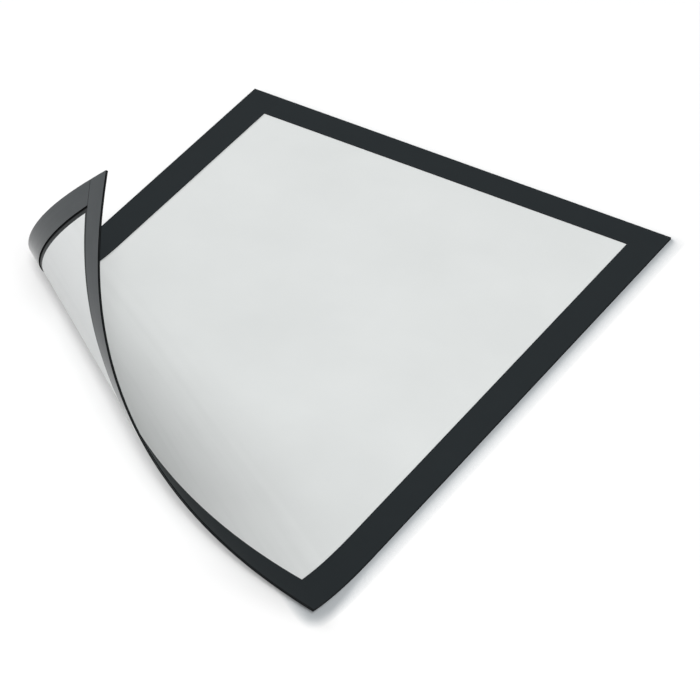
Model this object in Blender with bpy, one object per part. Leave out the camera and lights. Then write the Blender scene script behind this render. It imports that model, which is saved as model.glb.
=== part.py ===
"""Magnetic sign frame for one A4 sheet, lying on its magnets with one corner rolled up.

The sheet is drawn flat first: x runs to the right and y up from its bottom left corner,
which is the corner that is rolled up, and z runs from the rear of the magnets to the front.
Every layer is then folded with the same narrow panels round the same cone, so the layers
stay parallel in the roll, and the sheet keeps its size.
"""

import math

import bmesh
import bpy
import numpy as np

# Sheet, in metres
SHEET_WIDTH = 0.236
SHEET_HEIGHT = 0.323
BORDER_WIDTH = 0.0155
STRIP_WIDTH = 0.0127

# Layers, from the front to the rear, with a hairline between neighbours
BORDER_THICKNESS = 0.00030
GLUE_THICKNESS = 0.00005
FILM_THICKNESS = 0.00018
TAPE_THICKNESS = 0.00005
STRIP_THICKNESS = 0.00045
LAYER_CLEARANCE = 0.00002

# How far the glues stop short of what they hold, and the joint between two strips
GLUE_MARGIN = 0.0005
TAPE_MARGIN = 0.0004
STRIP_JOINT = 0.0003

# Roll of the bottom left corner: a cone whose tip is left of the corner and above it
CONE_TIP_LEFT = 0.319
CONE_TIP_UP = 0.374
ROLL_START = 0.1895  # height on the left edge where the sheet leaves the flat
ROLL_TURN = math.radians(124.8)
ROLL_SKEW = 0.32  # above 0 bends the start of the roll more than its end
ROLL_EASE = 0.58  # nearer 0 bends the middle of the roll more evenly
FOLDS = 50

# Working values
ON_FOLD = 1e-6  # a point this near a fold lies on it
CUTTER_REACH = 0.001
SHARP_EDGE = math.radians(30)

# Heights of the layers above the rear of the magnets
TAPE_BOTTOM = STRIP_THICKNESS + LAYER_CLEARANCE
FILM_BOTTOM = TAPE_BOTTOM + TAPE_THICKNESS + LAYER_CLEARANCE
GLUE_BOTTOM = FILM_BOTTOM + FILM_THICKNESS + LAYER_CLEARANCE
BORDER_BOTTOM = GLUE_BOTTOM + GLUE_THICKNESS + LAYER_CLEARANCE
NEUTRAL_HEIGHT = FILM_BOTTOM + FILM_THICKNESS / 2  # the film neither stretches nor shrinks

CONE_TIP = np.array([-CONE_TIP_LEFT, CONE_TIP_UP, NEUTRAL_HEIGHT])


def clear_scene():
    for obj in list(bpy.data.objects):
        bpy.data.objects.remove(obj, do_unlink=True)


def new_collection(name):
    collection = bpy.data.collections.new(name)
    bpy.context.scene.collection.children.link(collection)
    return collection


def material(name, colour, roughness, metallic=0.0):
    made = bpy.data.materials.new(name)
    made.use_nodes = True
    made.diffuse_color = (*colour, 1.0)
    shader = made.node_tree.nodes["Principled BSDF"]
    shader.inputs["Base Color"].default_value = (*colour, 1.0)
    shader.inputs["Roughness"].default_value = roughness
    shader.inputs["Metallic"].default_value = metallic
    return made


# Roll
def bearing(point):
    """Angle of a point of the flat sheet, seen from the tip of the cone."""
    return math.atan2(point[1] - CONE_TIP[1], point[0] - CONE_TIP[0])


def fold_bearings():
    """Bearings of the folds, so placed that each one turns the sheet by the same angle."""
    start = bearing((0.0, ROLL_START))
    end = bearing((0.0, 0.0))
    share = np.linspace(0.0, 1.0, 2001)
    bend = (1 + ROLL_SKEW * (1 - 2 * share)) * np.sin(np.pi * share).clip(0.0) ** ROLL_EASE
    turned = np.concatenate([[0.0], np.cumsum(bend[1:] + bend[:-1])])
    turned /= turned[-1]
    wanted = (np.arange(FOLDS) + 0.5) / FOLDS
    return start + (end - start) * np.interp(wanted, turned, share)


def rotation_about(direction, angle):
    """Turn about a level axis through the tip of the cone, as a 4 by 4 matrix."""
    x, y = direction
    c, s = math.cos(angle), math.sin(angle)
    turn = np.eye(4)
    turn[:3, :3] = [
        [c + x * x * (1 - c), x * y * (1 - c), y * s],
        [x * y * (1 - c), c + y * y * (1 - c), -x * s],
        [-y * s, x * s, c],
    ]
    turn[:3, 3] = CONE_TIP - turn[:3, :3] @ CONE_TIP
    return turn


BEARINGS = fold_bearings()
FOLD_TURN = ROLL_TURN / FOLDS
# The axes point at the tip of the cone, so that a turn lifts the corner.
AXES = np.stack([-np.cos(BEARINGS), -np.sin(BEARINGS)], axis=1)


def panel_transforms():
    """Where each panel of the folded sheet goes, and where each fold between two panels goes."""
    panels = [np.eye(4)]
    folds = []
    for axis in AXES:
        folds.append(panels[-1] @ rotation_about(axis, FOLD_TURN / 2))
        panels.append(panels[-1] @ rotation_about(axis, FOLD_TURN))
    return panels, folds


PANELS, FOLD_PLACES = panel_transforms()


def rolled(point):
    """Place of a point of the flat sheet once the corner is rolled up."""
    x, y, z = point
    reach = math.hypot(x - CONE_TIP[0], y - CONE_TIP[1])
    off_fold = np.abs(reach * np.sin(BEARINGS - bearing(point)))
    nearest = int(off_fold.argmin())
    if off_fold[nearest] < ON_FOLD:
        mitred = NEUTRAL_HEIGHT + (z - NEUTRAL_HEIGHT) / math.cos(FOLD_TURN / 2)
        return (FOLD_PLACES[nearest] @ [x, y, mitred, 1.0])[:3]
    panel = int((BEARINGS > bearing(point)).sum())
    return (PANELS[panel] @ [x, y, z, 1.0])[:3]


def roll_up(mesh):
    """Crease a flat layer along every fold, then move its points to their rolled places."""
    layer = bmesh.new()
    layer.from_mesh(mesh)
    for axis in AXES:
        bmesh.ops.bisect_plane(
            layer,
            geom=layer.verts[:] + layer.edges[:] + layer.faces[:],
            plane_co=CONE_TIP,
            plane_no=(-axis[1], axis[0], 0.0),
            dist=ON_FOLD / 2,
        )
    bmesh.ops.triangulate(layer, faces=layer.faces[:])
    for vertex in layer.verts:
        vertex.co = rolled(vertex.co)
    layer.to_mesh(mesh)
    layer.free()


# Layers
def box(name, left, right, low, high, bottom, thickness, collection):
    """Box that spans left to right, low to high and bottom up, in sheet coordinates."""
    shape = bmesh.new()
    bmesh.ops.create_cube(shape, size=1.0)
    centre = ((left + right) / 2, (low + high) / 2, bottom + thickness / 2)
    bmesh.ops.scale(shape, vec=(right - left, high - low, thickness), verts=shape.verts)
    bmesh.ops.translate(shape, vec=centre, verts=shape.verts)
    mesh = bpy.data.meshes.new(name)
    shape.to_mesh(mesh)
    shape.free()
    made = bpy.data.objects.new(name, mesh)
    collection.objects.link(made)
    return made


def cut_window(layer, margin, bottom, thickness):
    """Cut the window out of a layer that covers the whole sheet."""
    edge = BORDER_WIDTH + margin
    cutter = box(
        layer.name + "_window",
        edge,
        SHEET_WIDTH - edge,
        edge,
        SHEET_HEIGHT - edge,
        bottom - CUTTER_REACH,
        thickness + 2 * CUTTER_REACH,
        cutters,
    )
    cutter.hide_render = True
    cutter.display_type = "WIRE"
    boolean = layer.modifiers.new("window", "BOOLEAN")
    boolean.operation = "DIFFERENCE"
    boolean.solver = "EXACT"
    boolean.object = cutter
    bpy.context.view_layer.update()
    evaluated = layer.evaluated_get(bpy.context.evaluated_depsgraph_get())
    flat = bpy.data.meshes.new_from_object(evaluated)
    layer.modifiers.clear()
    layer.data = flat
    flat.name = layer.name


def finish(layer, look):
    roll_up(layer.data)
    layer.data.materials.clear()
    layer.data.materials.append(look)
    layer.data.shade_smooth()
    layer.data.set_sharp_from_angle(angle=SHARP_EDGE)
    pieces.append(layer)


def front_border():
    layer = box(
        "front_border", 0.0, SHEET_WIDTH, 0.0, SHEET_HEIGHT, BORDER_BOTTOM, BORDER_THICKNESS, frame
    )
    cut_window(layer, 0.0, BORDER_BOTTOM, BORDER_THICKNESS)
    finish(layer, material("anthracite_foil", (0.026, 0.031, 0.034), 0.55))


def border_glue():
    layer = box(
        "border_glue",
        GLUE_MARGIN,
        SHEET_WIDTH - GLUE_MARGIN,
        GLUE_MARGIN,
        SHEET_HEIGHT - GLUE_MARGIN,
        GLUE_BOTTOM,
        GLUE_THICKNESS,
        frame,
    )
    cut_window(layer, -GLUE_MARGIN, GLUE_BOTTOM, GLUE_THICKNESS)
    finish(layer, material("clear_glue", (0.60, 0.60, 0.58), 0.30))


def window_film():
    layer = box(
        "window_film", 0.0, SHEET_WIDTH, 0.0, SHEET_HEIGHT, FILM_BOTTOM, FILM_THICKNESS, frame
    )
    finish(layer, material("frosted_film", (0.72, 0.74, 0.74), 0.45))


def strip_places():
    """Name, left, right, low and high of each magnet strip: the short ones reach the corners."""
    inner_low = STRIP_WIDTH + STRIP_JOINT
    inner_high = SHEET_HEIGHT - STRIP_WIDTH - STRIP_JOINT
    return (
        ("top", 0.0, SHEET_WIDTH, SHEET_HEIGHT - STRIP_WIDTH, SHEET_HEIGHT),
        ("bottom", 0.0, SHEET_WIDTH, 0.0, STRIP_WIDTH),
        ("left", 0.0, STRIP_WIDTH, inner_low, inner_high),
        ("right", SHEET_WIDTH - STRIP_WIDTH, SHEET_WIDTH, inner_low, inner_high),
    )


def magnet_strips():
    rubber = material("magnet_rubber", (0.110, 0.115, 0.118), 0.50)
    tape_look = material("strip_tape", (0.45, 0.44, 0.40), 0.40)
    for side, left, right, low, high in strip_places():
        strip = box("magnet_strip_" + side, left, right, low, high, 0.0, STRIP_THICKNESS, frame)
        finish(strip, rubber)
        tape = box(
            "strip_tape_" + side,
            left + TAPE_MARGIN,
            right - TAPE_MARGIN,
            low + TAPE_MARGIN,
            high - TAPE_MARGIN,
            TAPE_BOTTOM,
            TAPE_THICKNESS,
            frame,
        )
        finish(tape, tape_look)


def stand_on_origin():
    """Bring the middle of the rolled sheet's footprint over the world origin."""
    corners = np.array([vertex.co for piece in pieces for vertex in piece.data.vertices])
    middle = (corners.min(axis=0) + corners.max(axis=0)) / 2
    holder = bpy.data.objects.new("sheet_corner", None)
    frame.objects.link(holder)
    holder.location = (-middle[0], -middle[1], 0.0)
    for piece in pieces:
        piece.parent = holder


clear_scene()
frame = new_collection("magnetic_sign_frame")
cutters = new_collection("cutters")
pieces = []
front_border()
border_glue()
window_film()
magnet_strips()
stand_on_origin()
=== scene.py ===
"""Looks of the magnetic sign frame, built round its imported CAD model.

Every layer is drawn flat first, in the part's own sheet coordinates: x runs to the right and y up
from the bottom left corner, and z from the rear of the magnets to the front. It is then rolled
round the same cone as the CAD model, but with many more and narrower folds.
"""

import math

import bmesh
import bpy
import numpy as np
from mathutils import Matrix, Vector

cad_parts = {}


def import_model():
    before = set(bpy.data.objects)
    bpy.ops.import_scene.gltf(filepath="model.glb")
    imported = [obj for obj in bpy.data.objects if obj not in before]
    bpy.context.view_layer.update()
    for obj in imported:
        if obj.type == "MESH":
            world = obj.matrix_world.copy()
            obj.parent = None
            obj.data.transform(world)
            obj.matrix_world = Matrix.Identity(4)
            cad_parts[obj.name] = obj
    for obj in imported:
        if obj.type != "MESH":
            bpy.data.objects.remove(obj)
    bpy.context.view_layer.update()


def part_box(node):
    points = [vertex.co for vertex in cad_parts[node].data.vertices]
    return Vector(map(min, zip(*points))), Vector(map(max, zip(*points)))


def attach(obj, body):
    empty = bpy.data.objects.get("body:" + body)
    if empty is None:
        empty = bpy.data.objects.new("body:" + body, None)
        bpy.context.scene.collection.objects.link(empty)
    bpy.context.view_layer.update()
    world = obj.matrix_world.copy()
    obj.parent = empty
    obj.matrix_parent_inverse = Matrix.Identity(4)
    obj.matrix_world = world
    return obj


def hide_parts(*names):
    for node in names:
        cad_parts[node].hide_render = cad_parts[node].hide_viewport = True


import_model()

# Sheet and layers, in metres, as in the part
SHEET_WIDTH = 0.236
SHEET_HEIGHT = 0.323
BORDER_WIDTH = 0.0155
STRIP_WIDTH = 0.0127
BORDER_THICKNESS = 0.00030
GLUE_THICKNESS = 0.00005
FILM_THICKNESS = 0.00018
TAPE_THICKNESS = 0.00005
STRIP_THICKNESS = 0.00045
LAYER_CLEARANCE = 0.00002
GLUE_MARGIN = 0.0005
TAPE_MARGIN = 0.0004
STRIP_JOINT = 0.0003

# Roll of the bottom left corner, as in the part, but a hair later, so that the finer folds stay
# inside the model's box
CONE_TIP_LEFT = 0.319
CONE_TIP_UP = 0.374
ROLL_START = 0.1894
ROLL_TURN = math.radians(124.8)
ROLL_SKEW = 0.32
ROLL_EASE = 0.58

# Painted shadow: a dark line on the rear of the film along the inner edges of the long magnet strips,
# where they shade it
PAINTED_SHADOW_WIDTH = 0.0008

# Finer than the part
FOLDS = 160
FOIL_EDGE_RADIUS = 0.00006
RUBBER_EDGE_RADIUS = 0.00010
EDGE_SEGMENTS = 2
ROUND_PROFILE = 0.5

# Working values
BEND_SAMPLES = 2001
ON_FOLD = 1e-6  # a point this near a fold lies on it
SHARP_EDGE = math.radians(35)
AREA_WEIGHT = 100  # a large face keeps its normal where it meets a rounded edge
LEVEL_FACE = 0.5  # a flat layer's edges are the faces whose normals rise less than this

# Looks: colours run from dark to pale, and relief is in metres. A noise has its features per metre
# along the sheet's x, y and z (along, across and through a strip), its detail and the detail's
# strength.
NOISE_MIDDLE = (0.3, 0.7)  # most of a noise lies between these
GRAIN_STRENGTH = 0.5

FOIL_SPECULAR = 0.03
FOIL_CLOUDS = ((60.0, 60.0, 60.0), 3.0, 0.5)
FOIL_GRAIN = ((2600.0, 2600.0, 2600.0), 3.0, 0.6)
FOIL_CLOUD_SHARE = 0.5
FOIL_COLOURS = ((0.0157, 0.0195, 0.0218), (0.0201, 0.0246, 0.0268))
FOIL_ROUGHNESS = (0.50, 0.66)
FOIL_RELIEF = 0.00002

FILM_SPECULAR = 0.15
FILM_HAZE = ((22.0, 22.0, 22.0), 3.0, 0.5)
FILM_HAZE_RANGE = (0.25, 0.75)
FILM_HAZE_SHARE = 0.7
FILM_GRAIN = ((2200.0, 2200.0, 2200.0), 2.0, 0.6)
FILM_FRONT_COLOURS = ((0.698, 0.719, 0.714), (0.750, 0.771, 0.766))
FILM_FRONT_ROUGHNESS = (0.37, 0.49)
# The rear's colours are the front's made a little darker: painted shade on the film's rear
FILM_REAR_SHADED_COLOURS = ((0.679, 0.697, 0.697), (0.719, 0.737, 0.737))
FILM_REAR_ROUGHNESS = (0.40, 0.52)
FILM_RELIEF = 0.000012

# Stretch lines of the film: features per radian round the cone's tip and per metre away from it,
# the shares of the roll at which they begin and are full, and how far they go to the pale colour
STRETCH_AROUND = 90.0
STRETCH_AWAY = 7.0
STRETCH_RAMP = (0.04, 0.16)
# The pale colour of the lines makes the whole roll paler: painted light over the bend's shade, as
# well as stretch lines
STRETCH_PAINTED_LIGHT = 0.9
STRETCH_RELIEF = 0.00012

RUBBER_SPECULAR = 0.14
RUBBER_SHEEN = 0.45
RUBBER_SHEEN_ROUGHNESS = 0.20
RUBBER_LINES = ((14.0, 2400.0, 1.0), 3.0, 0.6)
RUBBER_CLOUDS = ((45.0, 90.0, 1.0), 3.0, 0.5)
RUBBER_LINE_SHARE = 0.5
RUBBER_COLOURS = ((0.030, 0.036, 0.0395), (0.045, 0.051, 0.0550))
RUBBER_ROUGHNESS = (0.33, 0.44)
RUBBER_RELIEF = 0.000015
SPECKS = ((3800.0, 3800.0, 1.0), 1.0, 0.5)
SPECK_RANGE = (0.62, 0.75)
SPECK_SHARE = 0.5
SPECK_HEIGHT = 0.4
SPECK_COLOUR = (0.075, 0.080, 0.082)

# Plain looks, of narrow or hidden surfaces: specular level, noise, colours and roughness
PLAIN_RELIEF = 0.00001
PLAIN_STRENGTH = 0.4
PLAIN_LOOKS = {
    # cut edges, whose near-black also paints the shadow line beside the long strips
    "cut_edge_and_painted_shadow": (
        0.02,
        ((1900.0, 1900.0, 6000.0), 2.0, 0.5),
        ((0.0025, 0.0027, 0.0030), (0.0060, 0.0064, 0.0068)),
        (0.70, 0.85),
    ),
    "film_over_border": (
        0.05,
        ((1400.0, 1400.0, 1400.0), 2.0, 0.5),
        ((0.018, 0.020, 0.021), (0.025, 0.028, 0.029)),
        (0.38, 0.50),
    ),
    "clear_glue": (
        0.4,
        ((900.0, 900.0, 900.0), 2.0, 0.5),
        ((0.03, 0.03, 0.03), (0.05, 0.05, 0.05)),
        (0.35, 0.55),
    ),
    "strip_tape": (
        0.4,
        ((900.0, 900.0, 900.0), 2.0, 0.5),
        ((0.03, 0.03, 0.028), (0.05, 0.05, 0.046)),
        (0.35, 0.55),
    ),
}

# Camera
PHOTO_PIXELS = 700
FOCAL_PIXELS = 4259.1
SENSOR_WIDTH = 36.0
CAMERA_PITCH = math.radians(38.170)
CAMERA_TURN = math.radians(31.502)
CAMERA_ROLL = math.radians(0.237)
CAMERA_PLACE = (0.84015, -1.31042, 1.21502)
CAMERA_NEAREST = 0.1
CAMERA_FARTHEST = 50.0

# Softboxes: share of the light on the flat sheet, azimuth and elevation in degrees, and distance
# and side in metres. With the dome, they light a level surface so that its colour renders about
# as it is written.
SOFTBOXES = {
    "front_softbox": (0.345, 140.0, 46.0, 9.0, 2.4),
    "left_softbox": (0.327, 285.0, 32.0, 9.0, 6.0),
}
# The same for a smaller softbox on the camera's side that lights the floor alone, so that the
# object's shadow keeps close to it
FLOOR_SOFTBOX = (0.56, 145.5, 44.5, 9.0, 0.9)

# Dome of soft light, and the white that is seen in its place
DOME_STRENGTH = 1.00
DOME_POWER = 2.0
DOME_AZIMUTH = math.radians(147)
DOME_ELEVATION = math.radians(50)
BACKGROUND_WHITE = 1.0

# Floor: half its side and how far it lies below the object, its colour and its own glow where it
# is seen, and its colour for the light that it throws back
FLOOR_HALF = 6.0
FLOOR_DROP = 0.00005
FLOOR_SEEN = 0.55
FLOOR_GLOW = 0.17
FLOOR_BOUNCE = 0.51

# Soft shadow on the floor close to the object: a point of the floor is dark where the object
# stands in this direction from it, no further than the reach
CONTACT_AZIMUTH = math.radians(303)
CONTACT_ELEVATION = math.radians(25)
CONTACT_REACH = 0.008
CONTACT_POWER = 2.9
CONTACT_DARKEST = 0.50
CONTACT_SAMPLES = 16
CONTACT_HUE = (0.90, 1.0, 1.07)  # the darker the shadow, the nearer its colour is to this
WHITE = (1.0, 1.0, 1.0)

TAPE_BOTTOM = STRIP_THICKNESS + LAYER_CLEARANCE
FILM_BOTTOM = TAPE_BOTTOM + TAPE_THICKNESS + LAYER_CLEARANCE
GLUE_BOTTOM = FILM_BOTTOM + FILM_THICKNESS + LAYER_CLEARANCE
BORDER_BOTTOM = GLUE_BOTTOM + GLUE_THICKNESS + LAYER_CLEARANCE
NEUTRAL_HEIGHT = FILM_BOTTOM + FILM_THICKNESS / 2
CONE_TIP = np.array([-CONE_TIP_LEFT, CONE_TIP_UP, NEUTRAL_HEIGHT])


# Roll
def bearing(point):
    """Angle of a point of the flat sheet, seen from the tip of the cone."""
    return math.atan2(point[1] - CONE_TIP[1], point[0] - CONE_TIP[0])


START_BEARING = bearing((0.0, ROLL_START))
END_BEARING = bearing((0.0, 0.0))


def fold_bearings():
    """Bearings of the folds, so placed that each one turns the sheet by the same angle."""
    share = np.linspace(0.0, 1.0, BEND_SAMPLES)
    bend = (1 + ROLL_SKEW * (1 - 2 * share)) * np.sin(np.pi * share).clip(0.0) ** ROLL_EASE
    turned = np.concatenate([[0.0], np.cumsum(bend[1:] + bend[:-1])])
    turned /= turned[-1]
    wanted = (np.arange(FOLDS) + 0.5) / FOLDS
    return START_BEARING + (END_BEARING - START_BEARING) * np.interp(wanted, turned, share)


def rotation_about(axis, angle):
    """Turn about a level axis through the tip of the cone, as a 4 by 4 matrix."""
    x, y = axis
    c, s = math.cos(angle), math.sin(angle)
    turn = np.eye(4)
    turn[:3, :3] = [
        [c + x * x * (1 - c), x * y * (1 - c), y * s],
        [x * y * (1 - c), c + y * y * (1 - c), -x * s],
        [-y * s, x * s, c],
    ]
    turn[:3, 3] = CONE_TIP - turn[:3, :3] @ CONE_TIP
    return turn


BEARINGS = fold_bearings()
FOLD_TURN = ROLL_TURN / FOLDS
# The axes point at the tip of the cone, so that a turn lifts the corner.
AXES = np.stack([-np.cos(BEARINGS), -np.sin(BEARINGS)], axis=1)


def panel_transforms():
    """Where each panel of the folded sheet goes, and where each fold between two panels goes."""
    panels = [np.eye(4)]
    folds = []
    for axis in AXES:
        folds.append(panels[-1] @ rotation_about(axis, FOLD_TURN / 2))
        panels.append(panels[-1] @ rotation_about(axis, FOLD_TURN))
    return panels, folds


PANELS, FOLD_PLACES = panel_transforms()


def place_in_roll(point):
    """The transform that rolls a point of the flat sheet up, and the point that it moves."""
    x, y, z = point
    reach = math.hypot(x - CONE_TIP[0], y - CONE_TIP[1])
    off_fold = np.abs(reach * np.sin(BEARINGS - bearing(point)))
    nearest = int(off_fold.argmin())
    if off_fold[nearest] < ON_FOLD:
        mitred = NEUTRAL_HEIGHT + (z - NEUTRAL_HEIGHT) / math.cos(FOLD_TURN / 2)
        return FOLD_PLACES[nearest], (x, y, mitred)
    panel = int((BEARINGS > bearing(point)).sum())
    return PANELS[panel], (x, y, z)


# Meshes
def slab(edges_x, edges_y, bottom, thickness, open_cell=None):
    """Closed slab over a grid of cells, with one cell left open for a window."""
    shape = bmesh.new()
    columns, rows = len(edges_x) - 1, len(edges_y) - 1
    cells = {(i, j) for i in range(columns) for j in range(rows)} - {open_cell}
    points = {}

    def point(i, j, level):
        if (i, j, level) not in points:
            place = (edges_x[i], edges_y[j], bottom + level * thickness)
            points[i, j, level] = shape.verts.new(place)
        return points[i, j, level]

    for i, j in cells:
        corners = ((i, j), (i + 1, j), (i + 1, j + 1), (i, j + 1))
        neighbours = ((i, j - 1), (i + 1, j), (i, j + 1), (i - 1, j))
        shape.faces.new([point(*corner, 1) for corner in corners])
        shape.faces.new([point(*corner, 0) for corner in reversed(corners)])
        for side, neighbour in enumerate(neighbours):
            if neighbour not in cells:
                first, second = corners[side], corners[(side + 1) % 4]
                wall = (point(*first, 0), point(*second, 0), point(*second, 1), point(*first, 1))
                shape.faces.new(wall)
    return shape


def round_edges(shape, radius):
    rims = [edge for edge in shape.edges if edge.calc_face_angle(0.0) > SHARP_EDGE]
    bmesh.ops.bevel(
        shape,
        geom=rims,
        offset=radius,
        segments=EDGE_SEGMENTS,
        profile=ROUND_PROFILE,
        affect="EDGES",
    )


def crease_at_folds(shape):
    for axis in AXES:
        bmesh.ops.bisect_plane(
            shape,
            geom=shape.verts[:] + shape.edges[:] + shape.faces[:],
            plane_co=CONE_TIP,
            plane_no=(-axis[1], axis[0], 0.0),
            dist=ON_FOLD / 2,
        )


def flat_normals(obj):
    """Normals at the corners of the flat mesh: large faces stay flat, rounded edges are smooth."""
    obj.data.shade_smooth()
    obj.data.set_sharp_from_angle(angle=SHARP_EDGE)
    weighted = obj.modifiers.new("weighted", "WEIGHTED_NORMAL")
    weighted.mode = "FACE_AREA"
    weighted.weight = AREA_WEIGHT
    weighted.keep_sharp = True
    bpy.context.view_layer.update()
    evaluated = obj.evaluated_get(bpy.context.evaluated_depsgraph_get())
    mesh = evaluated.to_mesh()
    normals = np.array([corner.vector[:] for corner in mesh.corner_normals])
    evaluated.to_mesh_clear()
    obj.modifiers.clear()
    return normals


def roll_up(mesh, normals):
    """Move the points of a flat mesh to their rolled places, and turn its normals with them."""
    turns = []
    for vertex in mesh.vertices:
        transform, point = place_in_roll(vertex.co)
        turns.append(transform[:3, :3])
        vertex.co = (transform @ [*point, 1.0])[:3] + SHEET_CORNER
    ends = np.array([loop.vertex_index for loop in mesh.loops])
    turned = np.einsum("nij,nj->ni", np.array(turns)[ends], normals)
    mesh.normals_split_custom_set([tuple(normal) for normal in turned])


def on_face(normal):
    """True for the front and the rear of a layer, and False for its edges."""
    return abs(normal.z) > LEVEL_FACE


def face_or_edge(centre, normal):
    return 0 if on_face(normal) else 1


def only_look(centre, normal):
    return 0


def sheet_piece(name, node, shape, looks, look_of, radius=0.0, along_y=False):
    """Roll a flat shape up, and make it the piece that stands for a CAD node.

    look_of says which of the looks a flat face has, from its middle and its normal. along_y is for
    a strip whose length runs along y.
    """
    if radius:
        round_edges(shape, radius)
    crease_at_folds(shape)
    shape.normal_update()
    mesh = bpy.data.meshes.new(name)
    for look in looks:
        mesh.materials.append(look)
    for face in shape.faces:
        face.smooth = True
        face.material_index = look_of(face.calc_center_median(), face.normal)
    shape.to_mesh(mesh)
    shape.free()
    piece = bpy.data.objects.new(name, mesh)
    bpy.context.scene.collection.objects.link(piece)
    flat = np.array([vertex.co for vertex in mesh.vertices])
    roll_up(mesh, flat_normals(piece))
    grain = mesh.attributes.new("grain", "FLOAT_VECTOR", "POINT")
    order = [1, 0, 2] if along_y else [0, 1, 2]
    grain.data.foreach_set("vector", flat[:, order].astype(np.float32).ravel())
    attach(piece, "root")
    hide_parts(node)


# Looks
class Nodes:
    """Short names for making and linking the nodes of one tree."""

    def __init__(self, tree):
        self.tree = tree

    def feed(self, socket, value):
        """Link a socket to an output, or give it a value."""
        if isinstance(value, bpy.types.NodeSocket):
            self.tree.links.new(value, socket)
        else:
            socket.default_value = value

    def node(self, kind, inputs, **settings):
        made = self.tree.nodes.new(kind)
        for name, value in settings.items():
            setattr(made, name, value)
        for key, value in inputs.items():
            self.feed(made.inputs[key], value)
        return made

    def maths(self, operation, first, second):
        return self.node("ShaderNodeMath", {0: first, 1: second}, operation=operation).outputs[0]

    def spread(self, value, low, high, start=0.0, end=1.0):
        """Take start..end of a value to low..high."""
        return self.node(
            "ShaderNodeMapRange",
            {"Value": value, "From Min": start, "From Max": end, "To Min": low, "To Max": high},
        ).outputs["Result"]

    def colours(self, share, first, second):
        """Blend two colours by share."""
        mixed = self.node("ShaderNodeMix", {}, data_type="RGBA")
        for value, name in ((share, "Factor_Float"), (first, "A_Color"), (second, "B_Color")):
            socket = next(s for s in mixed.inputs if s.identifier == name)
            self.feed(socket, (*value, 1.0) if isinstance(value, tuple) else value)
        return next(s for s in mixed.outputs if s.identifier == "Result_Color")

    def switched(self, light, seen):
        """One value for light, and one for rays that show the background, also in gloss or glass."""
        path = self.node("ShaderNodeLightPath", {}).outputs
        share = path["Is Camera Ray"]
        for name in ("Is Glossy Ray", "Is Transmission Ray"):
            share = self.maths("MAXIMUM", share, path[name])
        return self.spread(share, light, seen)


class Look(Nodes):
    """A material with a principled shader."""

    def __init__(self, name, specular):
        self.material = bpy.data.materials.new(name)
        self.material.use_nodes = True
        super().__init__(self.material.node_tree)
        self.shader = self.tree.nodes["Principled BSDF"]
        self.relief = {}
        self.set("Specular IOR Level", specular)

    def set(self, name, value):
        self.feed(self.shader.inputs[name], value)

    def place(self, scale):
        """Flat coordinates of the sheet, in metres, times scale."""
        grain = self.node("ShaderNodeAttribute", {}, attribute_name="grain")
        return self.node(
            "ShaderNodeVectorMath", {0: grain.outputs["Vector"], 1: scale}, operation="MULTIPLY"
        ).outputs["Vector"]

    def noise(self, scale, detail, strength):
        return self.node(
            "ShaderNodeTexNoise",
            {"Vector": self.place(scale), "Scale": 1.0, "Detail": detail, "Roughness": strength},
        ).outputs["Fac"]

    def bump(self, height, depth, strength=1.0):
        """Relief on top of any earlier relief."""
        inputs = {"Height": height, "Distance": depth, "Strength": strength, **self.relief}
        self.relief = {"Normal": self.node("ShaderNodeBump", inputs).outputs["Normal"]}
        self.set("Normal", self.relief["Normal"])

    def stretch(self):
        """Lines that run towards the tip of the cone, and how strong they are, from 0 to 1."""
        from_tip = self.node(
            "ShaderNodeVectorMath",
            {0: self.place((1.0, 1.0, 0.0)), 1: (CONE_TIP[0], CONE_TIP[1], 0.0)},
            operation="SUBTRACT",
        ).outputs["Vector"]
        parts = self.node("ShaderNodeSeparateXYZ", {"Vector": from_tip}).outputs
        turned = self.maths("ARCTAN2", parts["Y"], parts["X"])
        reach = self.node("ShaderNodeVectorMath", {0: from_tip}, operation="LENGTH").outputs["Value"]
        around = self.maths("MULTIPLY", turned, STRETCH_AROUND)
        away = self.maths("MULTIPLY", reach, STRETCH_AWAY)
        place = self.node("ShaderNodeCombineXYZ", {"X": around, "Y": away}).outputs["Vector"]
        lines = self.node("ShaderNodeTexNoise", {"Vector": place, "Scale": 1.0}).outputs["Fac"]
        rolled = self.spread(turned, 0.0, 1.0, START_BEARING, END_BEARING)
        return lines, self.spread(rolled, 0.0, 1.0, *STRETCH_RAMP)


def foil_look():
    """Matte anthracite foil with a fine pressed grain."""
    look = Look("anthracite_foil", FOIL_SPECULAR)
    clouds = look.noise(*FOIL_CLOUDS)
    grain = look.noise(*FOIL_GRAIN)
    cloud_part = look.spread(clouds, 0.0, FOIL_CLOUD_SHARE)
    grain_part = look.spread(grain, 0.0, 1.0 - FOIL_CLOUD_SHARE)
    share = look.maths("ADD", cloud_part, grain_part)
    look.set("Base Color", look.colours(share, *FOIL_COLOURS))
    look.set("Roughness", look.spread(grain, *FOIL_ROUGHNESS, *NOISE_MIDDLE))
    look.bump(grain, FOIL_RELIEF, GRAIN_STRENGTH)
    return look.material


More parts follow.
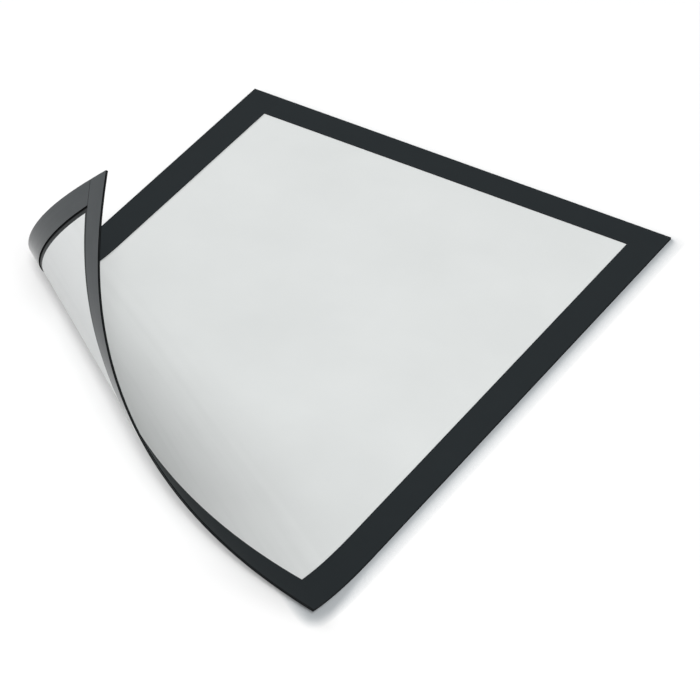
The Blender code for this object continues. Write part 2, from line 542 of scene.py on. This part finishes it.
def film_look(name, colours, roughness):
    """Frosted film: a satin micro grain over faint clouds of haze, and paler stretch lines in the
    roll, which also paint light over the bend's shade.
    """
    look = Look(name, FILM_SPECULAR)
    haze = look.noise(*FILM_HAZE)
    grain = look.noise(*FILM_GRAIN)
    lines, strength = look.stretch()
    haze_part = look.spread(haze, 0.0, FILM_HAZE_SHARE, *FILM_HAZE_RANGE)
    grain_part = look.spread(grain, 0.0, 1.0 - FILM_HAZE_SHARE)
    # painted light: the stretch lines also lift the colour of the bend above its shade
    line_part = look.maths(
        "MULTIPLY", strength, look.spread(lines, 0.0, STRETCH_PAINTED_LIGHT, *NOISE_MIDDLE)
    )
    share = look.maths("ADD", look.maths("ADD", haze_part, grain_part), line_part)
    look.set("Base Color", look.colours(share, *colours))
    look.set("Roughness", look.spread(grain, *roughness, *NOISE_MIDDLE))
    look.bump(look.maths("MULTIPLY", strength, lines), STRETCH_RELIEF)
    look.bump(grain, FILM_RELIEF, GRAIN_STRENGTH)
    return look.material


def rubber_look():
    """Satin rear of the magnet rubber: drawn lines along the strip and fine specks."""
    look = Look("magnet_rubber", RUBBER_SPECULAR)
    look.set("Sheen Weight", RUBBER_SHEEN)
    look.set("Sheen Roughness", RUBBER_SHEEN_ROUGHNESS)
    lines = look.noise(*RUBBER_LINES)
    clouds = look.noise(*RUBBER_CLOUDS)
    specks = look.noise(*SPECKS)
    line_part = look.spread(lines, 0.0, RUBBER_LINE_SHARE, *NOISE_MIDDLE)
    cloud_part = look.spread(clouds, 0.0, 1.0 - RUBBER_LINE_SHARE, *NOISE_MIDDLE)
    body = look.colours(look.maths("ADD", line_part, cloud_part), *RUBBER_COLOURS)
    speck_part = look.spread(specks, 0.0, SPECK_SHARE, *SPECK_RANGE)
    look.set("Base Color", look.colours(speck_part, body, SPECK_COLOUR))
    look.set("Roughness", look.spread(lines, *RUBBER_ROUGHNESS, *NOISE_MIDDLE))
    height = look.maths("ADD", lines, look.spread(specks, 0.0, SPECK_HEIGHT))
    look.bump(height, RUBBER_RELIEF, GRAIN_STRENGTH)
    return look.material


def plain_look(name):
    specular, noise, colours, roughness = PLAIN_LOOKS[name]
    look = Look(name, specular)
    marks = look.noise(*noise)
    look.set("Base Color", look.colours(marks, *colours))
    look.set("Roughness", look.spread(marks, *roughness))
    look.bump(marks, PLAIN_RELIEF, PLAIN_STRENGTH)
    return look.material


# Pieces
RING_X = (0.0, BORDER_WIDTH, SHEET_WIDTH - BORDER_WIDTH, SHEET_WIDTH)
RING_Y = (0.0, BORDER_WIDTH, SHEET_HEIGHT - BORDER_WIDTH, SHEET_HEIGHT)
WINDOW_CELL = (1, 1)


def in_window(centre):
    across = BORDER_WIDTH < centre.x < SHEET_WIDTH - BORDER_WIDTH
    up = BORDER_WIDTH < centre.y < SHEET_HEIGHT - BORDER_WIDTH
    return across and up


def front_border(cut_and_painted_shadow):
    sheet_piece(
        "border_foil",
        "front_border",
        slab(RING_X, RING_Y, BORDER_BOTTOM, BORDER_THICKNESS, WINDOW_CELL),
        (foil_look(), cut_and_painted_shadow),
        face_or_edge,
        FOIL_EDGE_RADIUS,
    )


def border_glue():
    inner = BORDER_WIDTH - GLUE_MARGIN
    edges_x = (GLUE_MARGIN, inner, SHEET_WIDTH - inner, SHEET_WIDTH - GLUE_MARGIN)
    edges_y = (GLUE_MARGIN, inner, SHEET_HEIGHT - inner, SHEET_HEIGHT - GLUE_MARGIN)
    sheet_piece(
        "glue_ring",
        "border_glue",
        slab(edges_x, edges_y, GLUE_BOTTOM, GLUE_THICKNESS, WINDOW_CELL),
        (plain_look("clear_glue"),),
        only_look,
    )


def window_film(cut_and_painted_shadow):
    """The film is clear over the border's dark rear, and painted near-black along the long strips as
    the shadow they cast on it.
    """
    painted_shadow_end = STRIP_WIDTH + PAINTED_SHADOW_WIDTH
    edges_x = sorted(RING_X + (painted_shadow_end, SHEET_WIDTH - painted_shadow_end))
    looks = (
        film_look("frosted_film", FILM_FRONT_COLOURS, FILM_FRONT_ROUGHNESS),
        film_look("frosted_film_rear_painted_shade", FILM_REAR_SHADED_COLOURS, FILM_REAR_ROUGHNESS),
        plain_look("film_over_border"),
        cut_and_painted_shadow,
    )
    front, rear, margin, painted_shadow = range(len(looks))

    def look_of(centre, normal):
        if in_window(centre) and on_face(normal):
            return front if normal.z > 0 else rear
        # painted shadow: the rear next to a long strip takes the cut edges' near-black
        from_side = min(centre.x, SHEET_WIDTH - centre.x)
        return painted_shadow if normal.z < 0 and from_side < painted_shadow_end else margin

    sheet_piece(
        "window_sheet",
        "window_film",
        slab(edges_x, RING_Y, FILM_BOTTOM, FILM_THICKNESS),
        looks,
        look_of,
    )


def strip_places():
    """Name, left, right, low and high of each magnet strip: the short ones reach the corners."""
    inner_low = STRIP_WIDTH + STRIP_JOINT
    inner_high = SHEET_HEIGHT - STRIP_WIDTH - STRIP_JOINT
    return (
        ("top", 0.0, SHEET_WIDTH, SHEET_HEIGHT - STRIP_WIDTH, SHEET_HEIGHT),
        ("bottom", 0.0, SHEET_WIDTH, 0.0, STRIP_WIDTH),
        ("left", 0.0, STRIP_WIDTH, inner_low, inner_high),
        ("right", SHEET_WIDTH - STRIP_WIDTH, SHEET_WIDTH, inner_low, inner_high),
    )


def magnet_strips(cut_and_painted_shadow):
    rubber = rubber_look()
    tape_look = plain_look("strip_tape")
    for side, left, right, low, high in strip_places():
        along_y = side in ("left", "right")
        sheet_piece(
            "magnet_band_" + side,
            "magnet_strip_" + side,
            slab((left, right), (low, high), 0.0, STRIP_THICKNESS),
            (rubber, cut_and_painted_shadow),
            face_or_edge,
            RUBBER_EDGE_RADIUS,
            along_y,
        )
        edges_x = (left + TAPE_MARGIN, right - TAPE_MARGIN)
        edges_y = (low + TAPE_MARGIN, high - TAPE_MARGIN)
        sheet_piece(
            "tape_band_" + side,
            "strip_tape_" + side,
            slab(edges_x, edges_y, TAPE_BOTTOM, TAPE_THICKNESS),
            (tape_look,),
            only_look,
            along_y=along_y,
        )


def sheet_corner():
    """Where the flat sheet's bottom left corner would lie, told from the top strip, which is flat."""
    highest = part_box("magnet_strip_top")[1]
    return np.array([highest.x - SHEET_WIDTH, highest.y - SHEET_HEIGHT, 0.0])


# Camera, floor and light
def camera():
    data = bpy.data.cameras.new("camera")
    data.sensor_width = SENSOR_WIDTH
    data.lens = FOCAL_PIXELS / PHOTO_PIXELS * SENSOR_WIDTH
    data.clip_start = CAMERA_NEAREST
    data.clip_end = CAMERA_FARTHEST
    made = bpy.data.objects.new("camera", data)
    turn = Matrix.Rotation(CAMERA_TURN, 4, "Z")
    tilt = Matrix.Rotation(math.pi / 2 - CAMERA_PITCH, 4, "X")
    roll = Matrix.Rotation(CAMERA_ROLL, 4, "Z")
    made.matrix_world = Matrix.Translation(CAMERA_PLACE) @ turn @ tilt @ roll
    bpy.context.scene.collection.objects.link(made)
    bpy.context.scene.camera = made


def direction(azimuth, elevation):
    """Level azimuth runs clockwise from +Y, seen from above."""
    level = math.cos(elevation)
    return Vector((math.sin(azimuth) * level, math.cos(azimuth) * level, math.sin(elevation)))


def floor_look():
    """White where it is seen, with a slightly blue shadow close to the object."""
    material = bpy.data.materials.new("floor")
    material.use_nodes = True
    material.node_tree.nodes.clear()
    look = Nodes(material.node_tree)
    x, y, z = direction(CONTACT_AZIMUTH, CONTACT_ELEVATION)
    lean = look.node("ShaderNodeCombineXYZ", {"X": x, "Y": y, "Z": z}).outputs["Vector"]
    near = look.node(
        "ShaderNodeAmbientOcclusion",
        {"Distance": CONTACT_REACH, "Normal": lean},
        samples=CONTACT_SAMPLES,
    ).outputs["AO"]
    shadow = look.maths("MAXIMUM", look.maths("POWER", near, CONTACT_POWER), CONTACT_DARKEST)
    hue = look.colours(shadow, CONTACT_HUE, WHITE)
    colour = look.switched(FLOOR_BOUNCE, look.maths("MULTIPLY", shadow, FLOOR_SEEN))
    glow = look.switched(0.0, look.maths("MULTIPLY", shadow, FLOOR_GLOW))
    tinted = look.node("ShaderNodeVectorMath", {"Vector": hue, "Scale": colour}, operation="SCALE")
    diffuse = look.node("ShaderNodeBsdfDiffuse", {"Color": tinted.outputs["Vector"]})
    emission = look.node("ShaderNodeEmission", {"Color": hue, "Strength": glow})
    both = look.node("ShaderNodeAddShader", {0: diffuse.outputs[0], 1: emission.outputs[0]})
    look.node("ShaderNodeOutputMaterial", {"Surface": both.outputs[0]})
    return material


def floor():
    mesh = bpy.data.meshes.new("floor")
    far = FLOOR_HALF
    corners = ((-far, -far), (far, -far), (far, far), (-far, far))
    mesh.from_pydata([(x, y, -FLOOR_DROP) for x, y in corners], [], [(0, 1, 2, 3)])
    mesh.materials.append(floor_look())
    made = bpy.data.objects.new("floor", mesh)
    bpy.context.scene.collection.objects.link(made)
    return made


def world():
    """Soft dome that is brightest high up on the camera's side, and white where it is seen."""
    made = bpy.data.worlds.new("world")
    made.use_nodes = True
    bpy.context.scene.world = made
    dome = Nodes(made.node_tree)
    place = dome.node("ShaderNodeTexCoord", {}).outputs["Generated"]
    brightest = direction(DOME_AZIMUTH, DOME_ELEVATION)
    level = dome.node(
        "ShaderNodeVectorMath", {0: place, 1: brightest}, operation="DOT_PRODUCT"
    ).outputs["Value"]
    for operation, value in (("MAXIMUM", 0.0), ("POWER", DOME_POWER), ("MULTIPLY", DOME_STRENGTH)):
        level = dome.maths(operation, level, value)
    background = made.node_tree.nodes["Background"]
    dome.feed(background.inputs["Color"], (*WHITE, 1.0))
    dome.feed(background.inputs["Strength"], dome.switched(level, BACKGROUND_WHITE))


def softbox(name, share, azimuth, elevation, distance, side):
    """Square lamp aimed at the middle of the sheet."""
    rise = math.radians(elevation)
    away = direction(math.radians(azimuth), rise)
    data = bpy.data.lights.new(name, "AREA")
    data.shape = "SQUARE"
    data.size = side
    data.energy = share * math.pi**2 * distance**2 / math.sin(rise)
    made = bpy.data.objects.new(name, data)
    made.location = away * distance
    made.rotation_mode = "QUATERNION"
    made.rotation_quaternion = away.to_track_quat("Z", "Y")
    bpy.context.scene.collection.objects.link(made)
    return made


def floor_light(ground):
    lit = bpy.data.collections.new("lit_by_floor_softbox")
    lit.objects.link(ground)
    softbox("floor_softbox", *FLOOR_SOFTBOX).light_linking.receiver_collection = lit


SHEET_CORNER = sheet_corner()
camera()
world()
floor_light(floor())
for lamp, values in SOFTBOXES.items():
    softbox(lamp, *values)
cut_and_painted_shadow = plain_look("cut_edge_and_painted_shadow")
front_border(cut_and_painted_shadow)
border_glue()
window_film(cut_and_painted_shadow)
magnet_strips(cut_and_painted_shadow)
bpy.context.scene.view_settings.view_transform = "Standard"
